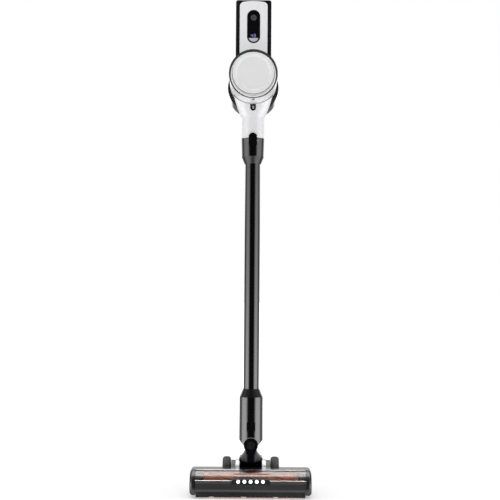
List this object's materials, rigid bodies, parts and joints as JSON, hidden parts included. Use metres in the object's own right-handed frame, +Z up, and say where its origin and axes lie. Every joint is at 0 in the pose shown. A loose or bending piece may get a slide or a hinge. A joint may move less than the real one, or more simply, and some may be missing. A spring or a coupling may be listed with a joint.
{
  "type": "cordless stick vacuum",
  "caption": "Cordless stick vacuum with a drum-shaped hand unit, smoked dust bin, slim black wand and a wide lamp-lit floor head on wheels.",
  "frame": {"origin": "on the floor, at the centre of the footprint of the whole upright machine", "axes": "+Z up along the wand, -Y to the front, where the lamps and the display face, +X to the right seen from the front"},
  "size_m": [0.262, 0.251, 1.0972],
  "materials": {
    "head_black": "fine grain",
    "smoked_window": "glossy, smoked",
    "lamp_housing": "glossy",
    "lamp_lens": "clear, lit",
    "bumper_grey": "satin",
    "gloss_black": "polished",
    "motor_steel": "drawn",
    "belt_rubber": "ribbed",
    "pin_steel": "turned",
    "bright_ring": "bright silver",
    "brush_core": "moulded",
    "brush_pile": "soft pile",
    "pulley_metal": "turned",
    "wheel_black": "moulded",
    "tyre_rubber": "soft",
    "pin_black": "black",
    "button_black": "satin",
    "tube_black": "gloss black coat",
    "white_plastic": "satin white",
    "cap_white": "satin white",
    "ring_black": "glossy",
    "filter_paper": "pleated",
    "motor_can": "cast",
    "fan_plastic": "moulded",
    "screen_metal": "perforated",
    "cone_plastic": "moulded",
    "foam": "open foam",
    "smoked_bin": "clear, smoked",
    "frame_black": "glossy",
    "seal_rubber": "soft",
    "bin_button": "satin",
    "display_black": "polished",
    "display_button": "polished",
    "button_grey": "satin",
    "board_green": "lacquered",
    "grip_black": "soft touch",
    "battery_black": "fine grain",
    "cell_wrap": "sleeved",
    "latch_grey": "satin",
    "socket_black": "moulded"
  },
  "bodies": {
    "floor_head": {"head_shell": "head_black", "head_window": "smoked_window", "lamp_panel": "lamp_housing", "lamp_lenses": "lamp_lens", "front_bumper": "bumper_grey", "front_skirt": "head_black", "end_caps": "gloss_black", "suction_duct": "head_black", "brush_motor": "motor_steel", "drive_belt": "belt_rubber", "wheel_axles": "pin_steel", "axle_brackets": "head_black", "pivot_rings": "bright_ring"},
    "brush": {"brush_core": "brush_core", "brush_pile": "brush_pile", "brush_pulley": "pulley_metal"},
    "brush_drive": {"motor_pulley": "pulley_metal"},
    "front_left": {"front_wheel_left": "wheel_black"},
    "front_right": {"front_wheel_right": "wheel_black"},
    "rear_left": {"rear_wheel_left": "wheel_black", "rear_tyre_left": "tyre_rubber"},
    "rear_right": {"rear_wheel_right": "wheel_black", "rear_tyre_right": "tyre_rubber"},
    "swivel_neck": {"pivot_barrel": "gloss_black", "swivel_bell": "gloss_black", "lean_pins": "pin_black"},
    "connector": {"connector_body": "gloss_black"},
    "head_release": {"head_release_button": "button_black"},
    "wand": {"wand_tube": "tube_black", "wand_sleeve": "gloss_black", "wand_collar": "gloss_black", "wand_release_pin": "pin_steel"},
    "wand_release": {"wand_release_button": "button_black"},
    "hand_unit": {"neck_duct": "white_plastic", "motor_drum": "white_plastic", "front_ring": "ring_black", "motor_can": "motor_can", "cyclone_screen": "screen_metal", "cyclone_cone": "cone_plastic", "pre_filter": "foam", "deck_frame": "frame_black", "deck_cover": "white_plastic", "display_panel": "display_black", "circuit_board": "board_green", "grip": "grip_black"},
    "cap": {"exhaust_cap": "cap_white", "exhaust_filter": "filter_paper"},
    "fan": {"suction_fan": "fan_plastic"},
    "bin": {"dust_bin": "smoked_bin", "bin_hinge_pin": "pin_steel"},
    "lid": {"bin_lid": "frame_black", "bin_lid_seal": "seal_rubber"},
    "bin_release": {"bin_release_button": "bin_button"},
    "power": {"power_button": "display_button"},
    "mode": {"mode_button": "button_grey"},
    "battery": {"battery_case": "battery_black", "battery_lid": "battery_black", "battery_cells": "cell_wrap", "charging_socket": "socket_black"},
    "latch": {"battery_latch": "latch_grey"}
  },
  "joints": [
    {"name": "neck_tilt", "type": "hinge", "parent": "floor_head", "child": "swivel_neck", "pos_m": [0, 0.0095, 0.035], "axis": [-1, 0, 0], "range_deg": [0, 80]},
    {"name": "wand_lean", "type": "hinge", "parent": "swivel_neck", "child": "connector", "pos_m": [0, -0.0205, 0.103], "axis": [0, 1, 0], "range_deg": [-40, 40]},
    {"name": "head_release_press", "type": "slide", "parent": "connector", "child": "head_release", "axis": [0, 1, 0], "range_m": [0, 0.002], "stiffness_N_per_m": 400, "springref_m": -0.002},
    {"name": "wand_pull", "type": "slide", "parent": "connector", "child": "wand", "axis": [0, 0, 1], "range_m": [0, 0.06]},
    {"name": "wand_release_rock", "type": "hinge", "parent": "wand", "child": "wand_release", "pos_m": [0, -0.0458, 0.7792], "axis": [1, 0, 0], "range_deg": [0, 6], "stiffness_Nm_per_rad": 0.05, "springref_deg": -5.73},
    {"name": "hand_unit_pull", "type": "slide", "parent": "wand", "child": "hand_unit", "axis": [0, 0, 1], "range_m": [0, 0.05]},
    {"name": "exhaust_cap_twist", "type": "hinge", "parent": "hand_unit", "child": "cap", "pos_m": [0, -0.1105, 0.9122], "axis": [0, 1, 0], "range_deg": [0, 30]},
    {"name": "fan_spin", "type": "hinge", "parent": "hand_unit", "child": "fan", "pos_m": [0, -0.0305, 0.9152], "axis": [0, 1, 0], "continuous": true},
    {"name": "bin_slide", "type": "slide", "parent": "hand_unit", "child": "bin", "axis": [0, 1, 0], "range_m": [0, 0.09]},
    {"name": "bin_lid_swing", "type": "hinge", "parent": "bin", "child": "lid", "pos_m": [0, 0.0718, 0.8452], "axis": [-1, 0, 0], "range_deg": [0, 95]},
    {"name": "bin_release_press", "type": "slide", "parent": "hand_unit", "child": "bin_release", "axis": [0, 1, 0], "range_m": [0, 0.002], "stiffness_N_per_m": 400, "springref_m": -0.002},
    {"name": "power_button_press", "type": "slide", "parent": "hand_unit", "child": "power", "axis": [0, 1, 0], "range_m": [0, 0.0008], "stiffness_N_per_m": 800, "springref_m": -0.001},
    {"name": "mode_button_press", "type": "slide", "parent": "hand_unit", "child": "mode", "axis": [0, 1, 0], "range_m": [0, 0.0008], "stiffness_N_per_m": 800, "springref_m": -0.001},
    {"name": "battery_slide", "type": "slide", "parent": "hand_unit", "child": "battery", "axis": [0, 1, 0], "range_m": [0, 0.06]},
    {"name": "battery_latch_press", "type": "slide", "parent": "battery", "child": "latch", "axis": [0, 0, -1], "range_m": [0, 0.0015], "stiffness_N_per_m": 600, "springref_m": -0.002},
    {"name": "brush_spin", "type": "hinge", "parent": "floor_head", "child": "brush", "pos_m": [0, -0.0865, 0.027], "axis": [1, 0, 0], "continuous": true},
    {"name": "brush_motor_spin", "type": "hinge", "parent": "floor_head", "child": "brush_drive", "pos_m": [0, -0.0439, 0.022], "axis": [1, 0, 0], "continuous": true},
    {"name": "front_left_roll", "type": "hinge", "parent": "floor_head", "child": "front_left", "pos_m": [-0.113, -0.1005, 0.008], "axis": [1, 0, 0], "continuous": true},
    {"name": "front_right_roll", "type": "hinge", "parent": "floor_head", "child": "front_right", "pos_m": [0.113, -0.1005, 0.008], "axis": [1, 0, 0], "continuous": true},
    {"name": "rear_left_roll", "type": "hinge", "parent": "floor_head", "child": "rear_left", "pos_m": [-0.054, 0.0095, 0.035], "axis": [1, 0, 0], "continuous": true},
    {"name": "rear_right_roll", "type": "hinge", "parent": "floor_head", "child": "rear_right", "pos_m": [0.054, 0.0095, 0.035], "axis": [1, 0, 0], "continuous": true}
  ],
  "couplings": [
    {"joint": "brush_motor_spin", "follows": "brush_spin", "ratio": 1.4286}
  ]
}
